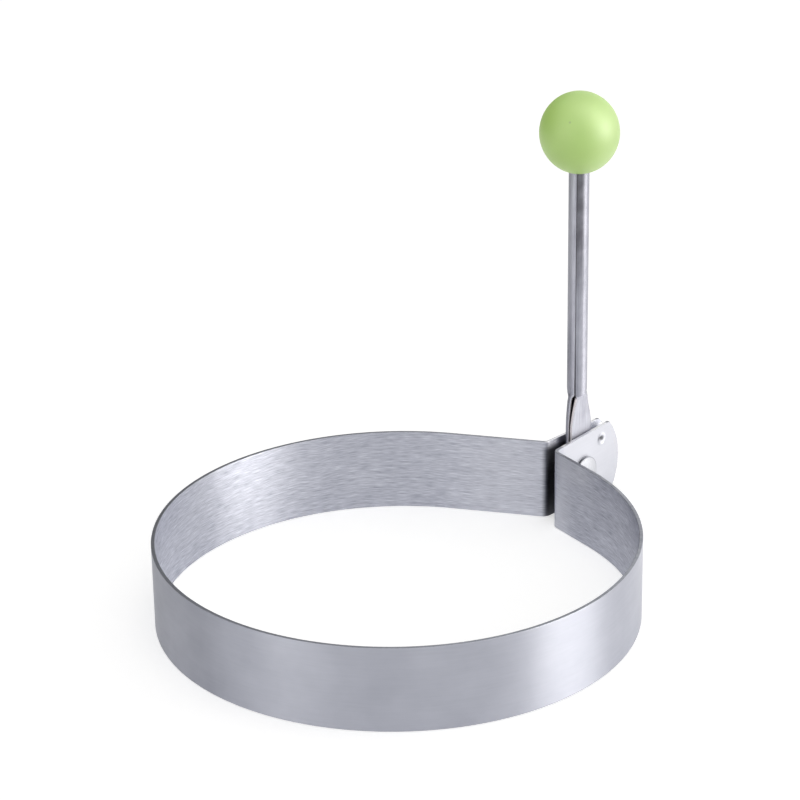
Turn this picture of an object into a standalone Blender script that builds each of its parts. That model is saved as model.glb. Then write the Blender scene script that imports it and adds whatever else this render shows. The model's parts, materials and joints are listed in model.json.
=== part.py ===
"""Egg ring: one bent steel strip with a handle that folds into the ring.

All lengths are in metres and +Z is up. The ring stands on z = 0. Its strip is bent outward at
both ends, and the two ends make a pair of tabs on the +Y side. A rivet along X holds the foot of
the rolled sheet handle between the tabs, and a ball knob sits on the handle's top.
The origin is below the middle of the whole outline, and the ring's own centre lies a little
towards -Y from it, because the tabs reach out on the +Y side only.
"""
import math

import bmesh
import bpy
from mathutils import Matrix, Vector

MM = 0.001

# Ring band: a strip of sheet steel on its edge
RING_INNER_DIAMETER = 90.0 * MM
BAND_SHEET = 0.7 * MM
BAND_HEIGHT = 16.4 * MM
RING_STEP_DEGREES = 3.0
BEND_STEPS = 6

# Tabs: the strip's two ends, on both sides of the handle's foot
RIVET_STANDOFF = 10.95 * MM        # middle of the ring's sheet to rivet axis
TAB_END_RADIUS = 11.9 * MM         # round end, about the rivet axis
TAB_GAP = 2.6 * MM                 # between the tabs' inner faces at the rivet
FRONT_FLARE_DEGREES = 16.5         # where the strip leaves the circle, from the +Y axis
BACK_FLARE_DEGREES = 25.7
FRONT_LEAN_DEGREES = 0.7           # how far a tab leans in towards the other at its end
BACK_LEAN_DEGREES = 4.7
FRONT_BEND_RADIUS = 1.0 * MM       # middle of the sheet
BACK_BEND_RADIUS = 2.4 * MM

# Dimples: pressed inward in both tabs, beyond the rivet
DIMPLE_REACH = 5.6 * MM            # outward from the rivet axis
DIMPLE_RISE = 5.6 * MM             # above the rivet axis
DIMPLE_RADIUS = 1.1 * MM
DIMPLE_DEPTH = 0.35 * MM
DIMPLE_SHIFT_SHARE = 0.25          # of the depth, from the tab's face to the dimple's centre
DIMPLE_SEGMENTS = 24

# Hinge rivet
RIVET_SHANK_DIAMETER = 2.8 * MM
RIVET_HEAD_DIAMETER = 7.0 * MM
RIVET_HEAD_RISE = 0.95 * MM
RIVET_HEAD_RIM = 0.15 * MM
RIVET_TAIL_DIAMETER = 5.2 * MM
RIVET_TAIL_RISE = 0.7 * MM
RIVET_TAIL_BORE_DIAMETER = 1.7 * MM
RIVET_TAIL_BORE_DEPTH = 1.1 * MM
RIVET_STEPS = 32
RIVET_DOME_STEPS = 7

# Handle stem: one sheet, rolled to a tube above and pressed to a flat channel below
STEM_DIAMETER = 4.0 * MM
STEM_SHEET = 0.5 * MM
STEM_SEAM = 0.3 * MM               # slot where the rolled edges meet
SEAM_TURN_DEGREES = 25.0           # of the seam towards the front, from facing the ring
SHOULDER_RUN = 1.0 * MM            # height over which the channel rounds up to the tube
CHANNEL_SWELL = 0.4 * MM           # how much deeper the channel is at its shoulder
FRONT_LEAF_REACH = 2.6 * MM        # stem axis to the leaf's free edge, towards the ring
FRONT_LEAF_REACH_AT_SHOULDER = 1.3 * MM
BACK_LEAF_REACH = 3.1 * MM         # stem axis to the outside of the back leaf's fold
BACK_LEAF_REACH_AT_SHOULDER = 2.4 * MM
LEAF_FOLD_DEGREES = 110.0          # how far the back leaf's side is folded round to the front
LEAF_EDGE_RUN = 7.0 * MM           # height over which both sides swing out
WEB_REACH = 4.3 * MM               # stem axis to the closed side, away from the ring
WEB_REACH_AT_SHOULDER = 2.9 * MM
WEB_RUN = 7.0 * MM                 # height below the shoulder over which the web draws in
STEM_SECTION_STEPS = 28            # along the sheet, on each side of the web
CHANNEL_STEPS = 12
SHOULDER_STEPS = 5

# Ball knob
KNOB_DIAMETER = 15.5 * MM
KNOB_HEIGHT = 16.0 * MM            # along the stem, measured on the full ball
KNOB_REACH = 71.2 * MM             # rivet axis to the ball's centre
KNOB_HOLE_DEPTH = 10.8 * MM
KNOB_LIP = 0.55 * MM               # flat ring around the hole
KNOB_STEPS = 48
KNOB_PROFILE_STEPS = 22

# Clearances
RIVET_CLEARANCE = 0.25 * MM        # shank to hole, each side
LEAF_CLEARANCE = 0.17 * MM         # foot to tab, each side, where the tabs are closest to it
SHOULDER_CLEARANCE = 2.6 * MM      # shoulder past the tabs' far corner, so that it folds freely
HEAD_CLEARANCE = 0.3 * MM          # under the rivet's head and tail
KNOB_CLEARANCE = 0.25 * MM         # stem to the knob's hole, each side
CUT_OVERRUN = 1.0 * MM             # how far a cutter runs past what it cuts
CUTTER_SEGMENTS = 96
HOLE_SEGMENTS = 40
MERGE_DISTANCE = 0.001 * MM
SMOOTH_DEGREES = 35.0              # flatter edges than this are shaded smooth
QUARTER_TURN_DEGREES = 90.0
HALF_TURN_DEGREES = 180.0

# Finishes: linear colour, roughness and metallic value
FINISHES = {
    "brushed_steel": ((0.50, 0.51, 0.54), 0.32, 1.0),
    "rolled_steel": ((0.58, 0.58, 0.61), 0.28, 1.0),
    "rivet_steel": ((0.66, 0.66, 0.69), 0.25, 1.0),
    "green_plastic": ((0.49, 0.75, 0.27), 0.45, 0.0),
}

# Worked out from the driving dimensions
RING_MIDDLE_RADIUS = RING_INNER_DIAMETER / 2 + BAND_SHEET / 2
RING_OUTER_RADIUS = RING_INNER_DIAMETER / 2 + BAND_SHEET
RIVET_REACH = RING_MIDDLE_RADIUS + RIVET_STANDOFF
RING_CENTRE_Y = (RING_OUTER_RADIUS - RIVET_REACH - TAB_END_RADIUS) / 2
RIVET_HEIGHT = BAND_HEIGHT / 2
RIVET_HOLE_RADIUS = RIVET_SHANK_DIAMETER / 2 + RIVET_CLEARANCE
TAB_MIDDLE = TAB_GAP / 2 + BAND_SHEET / 2
STEM_MIDDLE_RADIUS = STEM_DIAMETER / 2 - STEM_SHEET / 2
# The foot is rounded about the rivet as far as its web, and clears the tab that leans in more
FOOT_RADIUS = WEB_REACH
FOOT_SLOPE = FOOT_RADIUS * math.tan(math.radians(max(FRONT_LEAN_DEGREES, BACK_LEAN_DEGREES)))
CHANNEL_DEPTH_AT_RIVET = TAB_GAP - 2 * (FOOT_SLOPE + LEAF_CLEARANCE)
CHANNEL_DEPTH_AT_SHOULDER = CHANNEL_DEPTH_AT_RIVET + CHANNEL_SWELL
TAB_CORNER_REACH = math.hypot(RIVET_STANDOFF, RIVET_HEIGHT)
SHOULDER_BOTTOM = TAB_CORNER_REACH + SHOULDER_CLEARANCE
SHOULDER_TOP = SHOULDER_BOTTOM + SHOULDER_RUN
KNOB_HOLE_RADIUS = STEM_DIAMETER / 2 + KNOB_CLEARANCE


def clear_scene():
    """Remove whatever the scene holds."""
    for old in list(bpy.data.objects):
        bpy.data.objects.remove(old, do_unlink=True)


def make_collection(name):
    """Return a new collection under the scene's own."""
    collection = bpy.data.collections.new(name)
    bpy.context.scene.collection.children.link(collection)
    return collection


def make_material(name):
    """Return a Principled material from the table of finishes."""
    colour, roughness, metallic = FINISHES[name]
    material = bpy.data.materials.new(name)
    material.use_nodes = True
    shader = material.node_tree.nodes["Principled BSDF"]
    shader.inputs["Base Color"].default_value = (*colour, 1.0)
    shader.inputs["Roughness"].default_value = roughness
    shader.inputs["Metallic"].default_value = metallic
    return material


def mesh_from(name, bm):
    """Turn a bmesh into a mesh that is shaded smooth up to its sharp edges."""
    mesh = bpy.data.meshes.new(name)
    bm.to_mesh(mesh)
    bm.free()
    mesh.shade_smooth()
    mesh.set_sharp_from_angle(angle=math.radians(SMOOTH_DEGREES))
    return mesh


def add_object(name, mesh, collection, parent, material=None):
    """Add an object under an empty, with its mesh in the empty's frame."""
    part = bpy.data.objects.new(name, mesh)
    collection.objects.link(part)
    part.parent = parent
    if material:
        mesh.materials.append(material)
    return part


def add_empty(name, collection, location):
    """Add an empty that carries a group of pieces."""
    empty = bpy.data.objects.new(name, None)
    collection.objects.link(empty)
    empty.location = location
    return empty


def add_cutter(name, mesh, collection, parent):
    """Add a helper solid that is left out of the finished part."""
    cutter = add_object(name, mesh, collection, parent)
    cutter.hide_render = True
    cutter.display_type = "WIRE"
    return cutter


def combine(target, helper, operation):
    """Cut or join a helper solid with a Boolean modifier."""
    boolean = target.modifiers.new(helper.name, "BOOLEAN")
    boolean.operation = operation
    boolean.solver = "EXACT"
    boolean.object = helper


def solidify(target, thickness):
    """Give an open surface its thickness, half on each side."""
    shell = target.modifiers.new("sheet", "SOLIDIFY")
    shell.thickness = thickness
    shell.offset = 0.0
    shell.use_even_offset = True


def turn_profile(name, profile, steps, collection, parent, material):
    """Turn a profile of (radius, height) points about the local Z axis into one solid."""
    bm = bmesh.new()
    corners = [bm.verts.new((radius, 0.0, height)) for radius, height in profile]
    for upper, lower in zip(corners, corners[1:]):
        bm.edges.new((upper, lower))
    turned = add_object(name, mesh_from(name, bm), collection, parent, material)
    screw = turned.modifiers.new("turn", "SCREW")
    screw.axis = "Z"
    screw.angle = math.tau
    screw.steps = steps
    screw.render_steps = steps
    screw.use_merge_vertices = True
    screw.merge_threshold = MERGE_DISTANCE
    return turned


def cylinder_along_x(name, radius, length, segments):
    """Return a closed cylinder mesh centred on the local X axis."""
    bm = bmesh.new()
    bmesh.ops.create_cone(
        bm,
        cap_ends=True,
        segments=segments,
        radius1=radius,
        radius2=radius,
        depth=length,
        matrix=Matrix.Rotation(math.radians(QUARTER_TURN_DEGREES), 4, "Y"),
    )
    return mesh_from(name, bm)


def box_between(name, low, high):
    """Return a box mesh between two opposite corners."""
    low = Vector(low)
    high = Vector(high)
    bm = bmesh.new()
    scale = Matrix.Diagonal((*(high - low), 1.0))
    bmesh.ops.create_cube(bm, size=1.0, matrix=Matrix.Translation((low + high) / 2) @ scale)
    return mesh_from(name, bm)


def round_end_cutter(name, radius, low, high, collection, parent):
    """Make a box that lacks a cylinder about the local X axis, so that it rounds what it cuts."""
    width = high[0] - low[0]
    core = cylinder_along_x(f"{name}_core", radius, width + CUT_OVERRUN, CUTTER_SEGMENTS)
    core_object = add_cutter(f"{name}_core", core, collection, parent)
    cutter = add_cutter(name, box_between(name, low, high), collection, parent)
    combine(cutter, core_object, "DIFFERENCE")
    return cutter


def strip_side(side, flare_degrees, lean_degrees, bend_radius):
    """Plan points of half the strip, from the ring's far point to past the tab's end.

    side is 1 for the front half, at +X, and -1 for the back half. The strip follows the ring's
    circle, leaves it on its tangent, and bends outward into the tab.
    """
    flare = math.radians(flare_degrees)
    lean = math.radians(lean_degrees)
    steps = round((HALF_TURN_DEGREES - flare_degrees) / RING_STEP_DEGREES)
    points = []
    for step in range(steps + 1):
        angle = math.pi + (flare - math.pi) * step / steps
        points.append(RING_MIDDLE_RADIUS * Vector((side * math.sin(angle), math.cos(angle))))

    # The corner where the tangent meets the tab's line
    leave = points[-1]
    tangent = Vector((-side * math.cos(flare), math.sin(flare)))
    tab_line = Vector((-side * math.sin(lean), math.cos(lean)))
    at_rivet = Vector((side * TAB_MIDDLE, RIVET_REACH))
    across = Vector((tab_line.y, -tab_line.x))
    corner = leave + tangent * ((at_rivet - leave).dot(across) / tangent.dot(across))

    # The bend between them
    turn = tangent.angle(tab_line)
    bend_start = corner - tangent * bend_radius * math.tan(turn / 2)
    inward = (tab_line - tangent * tangent.dot(tab_line)).normalized()
    bend_centre = bend_start + inward * bend_radius
    for step in range(BEND_STEPS + 1):
        angle = turn * step / BEND_STEPS
        ray = tangent * math.sin(angle) - inward * math.cos(angle)
        points.append(bend_centre + ray * bend_radius)

    points.append(at_rivet + tab_line * (TAB_END_RADIUS + CUT_OVERRUN))
    return points


def tab_matrix(side, lean_degrees):
    """Frame of a tab: its middle at the rivet, +X out of its outer face and +Y to its end."""
    facing = Matrix.Rotation(math.radians(0.0 if side > 0 else HALF_TURN_DEGREES), 4, "Z")
    lean = Matrix.Rotation(math.radians(side * lean_degrees), 4, "Z")
    place = Matrix.Translation((side * TAB_MIDDLE, RIVET_REACH, RIVET_HEIGHT))
    return place @ lean @ facing


def add_dimple(band, label, side, lean_degrees, cutters, parent):
    """Press a dimple in a tab: a hollow in its outer face and a bump on its inner one."""
    frame = tab_matrix(side, lean_degrees)
    shift = DIMPLE_DEPTH * DIMPLE_SHIFT_SHARE
    squash = Matrix.Diagonal((DIMPLE_DEPTH + shift, DIMPLE_RADIUS, DIMPLE_RADIUS, 1.0))
    for kind, face, operation in (("bump", -1, "UNION"), ("hollow", 1, "DIFFERENCE")):
        place = Matrix.Translation((face * BAND_SHEET / 2 + shift, side * DIMPLE_REACH, DIMPLE_RISE))
        bm = bmesh.new()
        bmesh.ops.create_uvsphere(
            bm,
            u_segments=DIMPLE_SEGMENTS,
            v_segments=DIMPLE_SEGMENTS // 2,
            radius=1.0,
            matrix=frame @ place @ squash,
        )
        name = f"{label}_dimple_{kind}"
        helper = add_cutter(name, mesh_from(name, bm), cutters, parent)
        combine(band, helper, operation)


def make_ring_band(parts, cutters, ring_centre, hinge, material):
    """The strip: ring, two bends and two round-ended tabs with the rivet's holes."""
    back = strip_side(-1, BACK_FLARE_DEGREES, BACK_LEAN_DEGREES, BACK_BEND_RADIUS)
    front = strip_side(1, FRONT_FLARE_DEGREES, FRONT_LEAN_DEGREES, FRONT_BEND_RADIUS)
    outline = back[::-1] + front[1:]

    bm = bmesh.new()
    corners = [bm.verts.new((point.x, point.y, 0.0)) for point in outline]
    edges = [bm.edges.new(pair) for pair in zip(corners, corners[1:])]
    raised = bmesh.ops.extrude_edge_only(bm, edges=edges)["geom"]
    top = [item for item in raised if isinstance(item, bmesh.types.BMVert)]
    bmesh.ops.translate(bm, verts=top, vec=(0.0, 0.0, BAND_HEIGHT))
    band = add_object("ring_band", mesh_from("ring_band", bm), parts, ring_centre, material)
    solidify(band, BAND_SHEET)

    half_width = TAB_MIDDLE + BAND_SHEET + CUT_OVERRUN
    half_height = BAND_HEIGHT / 2 + CUT_OVERRUN
    ends = round_end_cutter(
        "tab_ends",
        TAB_END_RADIUS,
        (-half_width, 0.0, -half_height),
        (half_width, TAB_END_RADIUS + 2 * CUT_OVERRUN, half_height),
        cutters,
        hinge,
    )
    combine(band, ends, "DIFFERENCE")
    hole = cylinder_along_x("tab_holes", RIVET_HOLE_RADIUS, 2 * half_width, HOLE_SEGMENTS)
    combine(band, add_cutter("tab_holes", hole, cutters, hinge), "DIFFERENCE")
    add_dimple(band, "front", 1, FRONT_LEAN_DEGREES, cutters, ring_centre)
    add_dimple(band, "back", -1, BACK_LEAN_DEGREES, cutters, ring_centre)


def head_seat(lean_degrees, head_diameter):
    """Distance from the hinge's middle to the underside of a rivet head on a leaning tab."""
    slope = math.tan(math.radians(lean_degrees)) * head_diameter / 2
    return TAB_GAP / 2 + BAND_SHEET + slope + HEAD_CLEARANCE


def make_hinge_rivet(parts, hinge, material):
    """The rivet, along X: a low dome at the front and a rolled tail at the back."""
    head_radius = RIVET_HEAD_DIAMETER / 2
    shank_radius = RIVET_SHANK_DIAMETER / 2
    tail_radius = RIVET_TAIL_DIAMETER / 2
    bore_radius = RIVET_TAIL_BORE_DIAMETER / 2
    head_seat_height = head_seat(FRONT_LEAN_DEGREES, RIVET_HEAD_DIAMETER)
    tail_seat_height = -head_seat(BACK_LEAN_DEGREES, RIVET_TAIL_DIAMETER)
    tail_end = tail_seat_height - RIVET_TAIL_RISE
    tail_round = (tail_radius - bore_radius) / 2

    # Domed head, from its crown to its rim
    dome_rise = RIVET_HEAD_RISE - RIVET_HEAD_RIM
    dome_radius = (head_radius**2 + dome_rise**2) / (2 * dome_rise)
    dome_angle = math.asin(head_radius / dome_radius)
    dome_centre = head_seat_height + RIVET_HEAD_RISE - dome_radius
    profile = []
    for step in range(RIVET_DOME_STEPS + 1):
        angle = dome_angle * step / RIVET_DOME_STEPS
        profile.append((dome_radius * math.sin(angle), dome_centre + dome_radius * math.cos(angle)))
    profile.append((head_radius, head_seat_height))
    profile.append((shank_radius, head_seat_height))
    profile.append((shank_radius, tail_seat_height))
    profile.append((tail_radius, tail_seat_height))

    # Rolled tail, half an ellipse round to its bore
    for step in range(RIVET_DOME_STEPS + 1):
        angle = math.pi * step / RIVET_DOME_STEPS
        rise = (RIVET_TAIL_RISE / 2) * math.sin(angle)
        middle = bore_radius + tail_round
        profile.append((middle + tail_round * math.cos(angle), tail_end + RIVET_TAIL_RISE / 2 - rise))
    bore_end = tail_end + RIVET_TAIL_BORE_DEPTH
    profile.append((bore_radius, bore_end))
    profile.append((0.0, bore_end))

    rivet = turn_profile("hinge_rivet", profile, RIVET_STEPS, parts, hinge, material)
    rivet.rotation_euler = (0.0, math.radians(QUARTER_TURN_DEGREES), 0.0)


def ease(value, low, high):
    """Smooth step from 0 at low to 1 at high."""
    share = min(max((value - low) / (high - low), 0.0), 1.0)
    return share * share * (3.0 - 2.0 * share)


def mix(start, end, share):
    """Value between start and end."""
    return start + (end - start) * share


def leaf_reach(height, reach_at_shoulder, reach):
    """Distance from the stem's axis to a leaf's side, which swings out below the shoulder."""
    share = min(max((SHOULDER_BOTTOM - height) / LEAF_EDGE_RUN, 0.0), 1.0)
    return mix(reach_at_shoulder, reach, math.sin(share * math.pi / 2))


def channel_point(share, height):
    """Point of the flat channel's mid-surface; share runs from -1, back edge, to 1, front edge.

    The web closes the channel at +Y. The front leaf ends at its free edge, and the back leaf's
    side is folded round towards the front.
    """
    swell = ease(height, RIVET_HEIGHT, SHOULDER_BOTTOM)
    depth = mix(CHANNEL_DEPTH_AT_RIVET, CHANNEL_DEPTH_AT_SHOULDER, swell)
    web_radius = depth / 2 - STEM_SHEET / 2
    web_draw = ease(height, SHOULDER_BOTTOM - WEB_RUN, SHOULDER_BOTTOM)
    web_outside = mix(WEB_REACH, WEB_REACH_AT_SHOULDER, web_draw)
    bend_y = web_outside - STEM_SHEET / 2 - web_radius
    if share > 0:
        flat_end = -leaf_reach(height, FRONT_LEAF_REACH_AT_SHOULDER, FRONT_LEAF_REACH)
        fold = 0.0
    else:
        fold_outside = leaf_reach(height, BACK_LEAF_REACH_AT_SHOULDER, BACK_LEAF_REACH)
        flat_end = web_radius + STEM_SHEET / 2 - fold_outside
        fold = web_radius * math.radians(LEAF_FOLD_DEGREES)
    quarter = web_radius * math.pi / 2
    travel = abs(share) * (quarter + bend_y - flat_end + fold)
    side = math.copysign(1.0, share)
    if travel < quarter:
        angle = travel / web_radius
        return Vector((side * web_radius * math.sin(angle), bend_y + web_radius * math.cos(angle)))
    travel -= quarter
    if travel <= bend_y - flat_end:
        return Vector((side * web_radius, bend_y - travel))
    angle = (travel - (bend_y - flat_end)) / web_radius
    return Vector((side * web_radius * math.cos(angle), flat_end - web_radius * math.sin(angle)))


def tube_point(share):
    """Point of the rolled tube's mid-surface; the seam faces the ring and a little to the front."""
    seam_angle = math.asin(STEM_SEAM / 2 / STEM_MIDDLE_RADIUS)
    angle = share * (math.pi - seam_angle) - share**2 * math.radians(SEAM_TURN_DEGREES)
    return STEM_MIDDLE_RADIUS * Vector((math.sin(angle), math.cos(angle)))


def stem_heights():
    """Heights of the stem's sections above the rivet axis, from its foot to its top."""
    foot = -FOOT_RADIUS - CUT_OVERRUN
    top = KNOB_REACH - KNOB_HEIGHT / 2 + KNOB_HOLE_DEPTH - KNOB_CLEARANCE
    channel = [mix(0.0, SHOULDER_BOTTOM, step / CHANNEL_STEPS) for step in range(CHANNEL_STEPS)]
    shoulder = [
        mix(SHOULDER_BOTTOM, SHOULDER_TOP, step / SHOULDER_STEPS)
        for step in range(SHOULDER_STEPS + 1)
    ]
    return [foot] + channel + shoulder + [top]


def make_handle_stem(parts, cutters, hinge, material):
    """The rolled sheet handle: a loft from the flat channel to the round tube."""
    bm = bmesh.new()
    rows = []
    for height in stem_heights():
        roundness = ease(height, SHOULDER_BOTTOM, SHOULDER_TOP)
        row = []
        for step in range(-STEM_SECTION_STEPS, STEM_SECTION_STEPS + 1):
            share = step / STEM_SECTION_STEPS
            point = channel_point(share, height).lerp(tube_point(share), roundness)
            row.append(bm.verts.new((point.x, point.y, height)))
        rows.append(row)
    for lower, upper in zip(rows, rows[1:]):
        for index in range(len(lower) - 1):
            bm.faces.new((lower[index], upper[index], upper[index + 1], lower[index + 1]))
    bmesh.ops.recalc_face_normals(bm, faces=bm.faces)
    stem = add_object("handle_stem", mesh_from("handle_stem", bm), parts, hinge, material)
    solidify(stem, STEM_SHEET)

    half_width = CHANNEL_DEPTH_AT_SHOULDER / 2 + CUT_OVERRUN
    half_length = FOOT_RADIUS + CUT_OVERRUN
    foot = round_end_cutter(
        "stem_foot",
        FOOT_RADIUS,
        (-half_width, -half_length, -half_length - CUT_OVERRUN),
        (half_width, half_length, 0.0),
        cutters,
        hinge,
    )
    combine(stem, foot, "DIFFERENCE")
    hole = cylinder_along_x("stem_hole", RIVET_HOLE_RADIUS, 2 * half_width, HOLE_SEGMENTS)
    combine(stem, add_cutter("stem_hole", hole, cutters, hinge), "DIFFERENCE")


def make_ball_knob(parts, hinge, material):
    """The ball, slightly taller than wide, with a blind hole for the stem's top."""
    half_width = KNOB_DIAMETER / 2
    half_height = KNOB_HEIGHT / 2
    lip_radius = KNOB_HOLE_RADIUS + KNOB_LIP
    last_angle = math.pi - math.asin(lip_radius / half_width)
    profile = []
    for step in range(KNOB_PROFILE_STEPS + 1):
        angle = last_angle * step / KNOB_PROFILE_STEPS
        profile.append((half_width * math.sin(angle), half_height * math.cos(angle)))
    lip_height = profile[-1][1]
    hole_end = KNOB_HOLE_DEPTH - half_height
    profile.append((KNOB_HOLE_RADIUS, lip_height))
    profile.append((KNOB_HOLE_RADIUS, hole_end))
    profile.append((0.0, hole_end))
    knob = turn_profile("ball_knob", profile, KNOB_STEPS, parts, hinge, material)
    knob.location = (0.0, 0.0, KNOB_REACH)


def main():
    """Build the egg ring."""
    clear_scene()
    parts = make_collection("egg_ring")
    cutters = make_collection("cutters")
    ring_centre = add_empty("ring_centre", parts, (0.0, RING_CENTRE_Y, 0.0))
    hinge = add_empty("handle_hinge", parts, (0.0, RING_CENTRE_Y + RIVET_REACH, RIVET_HEIGHT))
    make_ring_band(parts, cutters, ring_centre, hinge, make_material("brushed_steel"))
    make_hinge_rivet(parts, hinge, make_material("rivet_steel"))
    make_handle_stem(parts, cutters, hinge, make_material("rolled_steel"))
    make_ball_knob(parts, hinge, make_material("green_plastic"))


main()
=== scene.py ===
"""Looks of the egg ring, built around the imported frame.

The ring is one bent strip of stainless sheet. Its two ends are the tabs that hold the rivet, and
the rolled sheet handle turns about that rivet with a moulded ball on top. Every piece here stands
for the CAD node of the same kind and rides on that node's body.
"""

import json
import logging
import math
from dataclasses import dataclass
from enum import Enum

import bmesh
import bpy
from bmesh.types import BMesh, BMVert
from bpy.types import ID, Material, NodeOutputs, NodeSocket, NodeTree, Object
from mathutils import Matrix, Quaternion, Vector


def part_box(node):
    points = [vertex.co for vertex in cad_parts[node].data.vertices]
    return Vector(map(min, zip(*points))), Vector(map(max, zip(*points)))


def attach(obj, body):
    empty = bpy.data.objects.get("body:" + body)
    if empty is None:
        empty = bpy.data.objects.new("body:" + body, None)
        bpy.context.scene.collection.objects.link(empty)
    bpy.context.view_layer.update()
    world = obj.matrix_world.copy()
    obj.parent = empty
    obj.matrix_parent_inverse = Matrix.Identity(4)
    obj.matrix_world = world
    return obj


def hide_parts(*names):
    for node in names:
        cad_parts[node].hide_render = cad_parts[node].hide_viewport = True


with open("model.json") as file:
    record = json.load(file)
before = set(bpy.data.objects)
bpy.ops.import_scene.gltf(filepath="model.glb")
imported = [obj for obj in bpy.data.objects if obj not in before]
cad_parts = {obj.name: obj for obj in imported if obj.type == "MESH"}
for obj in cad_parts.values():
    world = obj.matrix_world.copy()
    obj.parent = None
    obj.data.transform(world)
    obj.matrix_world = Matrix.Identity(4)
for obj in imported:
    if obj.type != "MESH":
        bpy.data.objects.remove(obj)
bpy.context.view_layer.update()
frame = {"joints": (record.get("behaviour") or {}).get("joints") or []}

MM = 0.001
SHEET_UV = "sheet"
LOG = logging.getLogger("egg_ring")
# Most of a soft noise's values lie between these two
NOISE_SPREAD = {"From Min": 0.25, "From Max": 0.75}


class Body(Enum):
    """The two bodies that the pieces ride on."""

    RING = "ring"
    HANDLE = "handle"


class Grain(Enum):
    """Which way a finish's marks run over the sheet map; they sway along the axis in the value."""

    ALONG = "Y"
    LENGTHWISE = "X"


class Outline(Enum):
    """The outline of a patch on a sheet."""

    STRIP = "straight sides"
    ROUND = "round"


class LampUse(Enum):
    """What a studio lamp adds."""

    ALL = "light and gloss"
    GLOSS = "gloss alone"


class Side(Enum):
    """The half of the strip that a tab ends: its X direction is the value."""

    FRONT = 1
    BACK = -1


def linear(code: str) -> tuple[float, float, float, float]:
    """Turn an sRGB hex colour to a linear one.

    Args:
        code: The colour as six hex digits after a hash sign.

    Returns:
        Red, green, blue and an alpha of one.
    """
    channels = [int(code[start : start + 2], 16) / 255 for start in (1, 3, 5)]
    curve = [c / 12.92 if c <= 0.04045 else ((c + 0.055) / 1.055) ** 2.4 for c in channels]
    return (*curve, 1.0)


def add_node(tree: NodeTree, kind: str, values: dict | None = None) -> NodeOutputs:
    """Add a node with its settings and links.

    Args:
        tree: The tree that the node goes into.
        kind: Blender's name for the kind of node, where ShaderNode may be left out.
        values: Settings, and the sockets that feed inputs, by the name of a property or by the
            name or number of an input.

    Returns:
        The node's outputs.
    """
    node = tree.nodes.new(kind if "Node" in kind else f"ShaderNode{kind}")
    values = values or {}
    # Properties come first, because some of them change the inputs
    for key, value in values.items():
        if hasattr(node, str(key)):
            setattr(node, key, value)
    for key, value in values.items():
        if isinstance(value, NodeSocket):
            tree.links.new(value, node.inputs[key])
        elif not hasattr(node, str(key)):
            node.inputs[key].default_value = value
    return node.outputs


def new_material(name: str) -> tuple[Material, NodeTree]:
    """Make an empty node material.

    Args:
        name: What the material is called.

    Returns:
        The material and its empty tree.
    """
    material = bpy.data.materials.new(name)
    material.use_nodes = True
    material.node_tree.nodes.clear()
    return material, material.node_tree


@dataclass(frozen=True, kw_only=True)
class Finish:
    """What every finish has: its name, two shades and a roughness that swings with a noise."""

    name: str
    colour: str
    shade: str
    roughness: float
    grain_depth: float
    roughness_swing: float = 0.05

    def close(self, tree: NodeTree, grain: NodeSocket, tone: dict, values: dict) -> None:
        """End the tree in a surface whose fine grain is raised from it.

        Args:
            tree: The material's tree.
            grain: The grain's height, from zero to one.
            tone: The noise that the roughness swings with, and its two ends.
            values: Settings and links of the surface.
        """
        least, most = self.roughness - self.roughness_swing, self.roughness + self.roughness_swing
        swung = {"To Min": least, "To Max": most, **tone}
        raised = {"Strength": 1.0, "Distance": self.grain_depth, "Height": grain}
        skin = {
            "Roughness": add_node(tree, "MapRange", swung)["Result"],
            "Normal": add_node(tree, "Bump", raised)["Normal"],
        }
        surface = add_node(tree, "BsdfPrincipled", {**values, **skin})["BSDF"]
        add_node(tree, "OutputMaterial", {"Surface": surface})


@dataclass(frozen=True)
class PaintedPatch:
    """A patch of painted light on a sheet, darker or brighter, with a soft border, in metres of its
    sheet map.
    """

    middle: tuple[float, float]
    reach: tuple[float, float]
    border: tuple[float, float]
    shade: str
    share: float
    outline: Outline = Outline.STRIP
    thinnest: float = 0.75

    def lay(
        self, tree: NodeTree, sheet: NodeSocket, mottle: NodeSocket, colour: NodeSocket
    ) -> NodeSocket:
        """Lay the patch over a colour.

        Args:
            tree: The material's tree.
            sheet: The sheet map, in metres.
            mottle: Noise that thins the patch in places.
            colour: The colour under the patch.

        Returns:
            The marked colour.
        """
        thinned = {"From Min": 0.3, "From Max": 0.6, "To Min": self.thinnest * self.share}
        thinned |= {"To Max": self.share, "Value": mottle}
        share = add_node(tree, "MapRange", thinned)["Result"]
        from_middle = {"operation": "SUBTRACT", 0: sheet, 1: (*self.middle, 0.0)}
        away = add_node(tree, "VectorMath", from_middle)["Vector"]
        if self.outline is Outline.ROUND:
            distances = [add_node(tree, "VectorMath", {"operation": "LENGTH", 0: away})["Value"]]
        else:
            sizes = add_node(tree, "VectorMath", {"operation": "ABSOLUTE", 0: away})
            apart = add_node(tree, "SeparateXYZ", {"Vector": sizes["Vector"]})
            distances = [apart["X"], apart["Y"]]
        for distance, reach, border in zip(distances, self.reach, self.border):
            soft = {"interpolation_type": "SMOOTHSTEP", "Value": distance}
            ends = {"From Min": reach - border, "From Max": reach, "To Min": 1.0, "To Max": 0.0}
            inside = add_node(tree, "MapRange", {**soft, **ends})["Result"]
            share = add_node(tree, "Math", {"operation": "MULTIPLY", 0: share, 1: inside})["Value"]
        laid = {"data_type": "RGBA", 0: share, 6: colour, 7: linear(self.shade)}
        return add_node(tree, "Mix", laid)[2]


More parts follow.
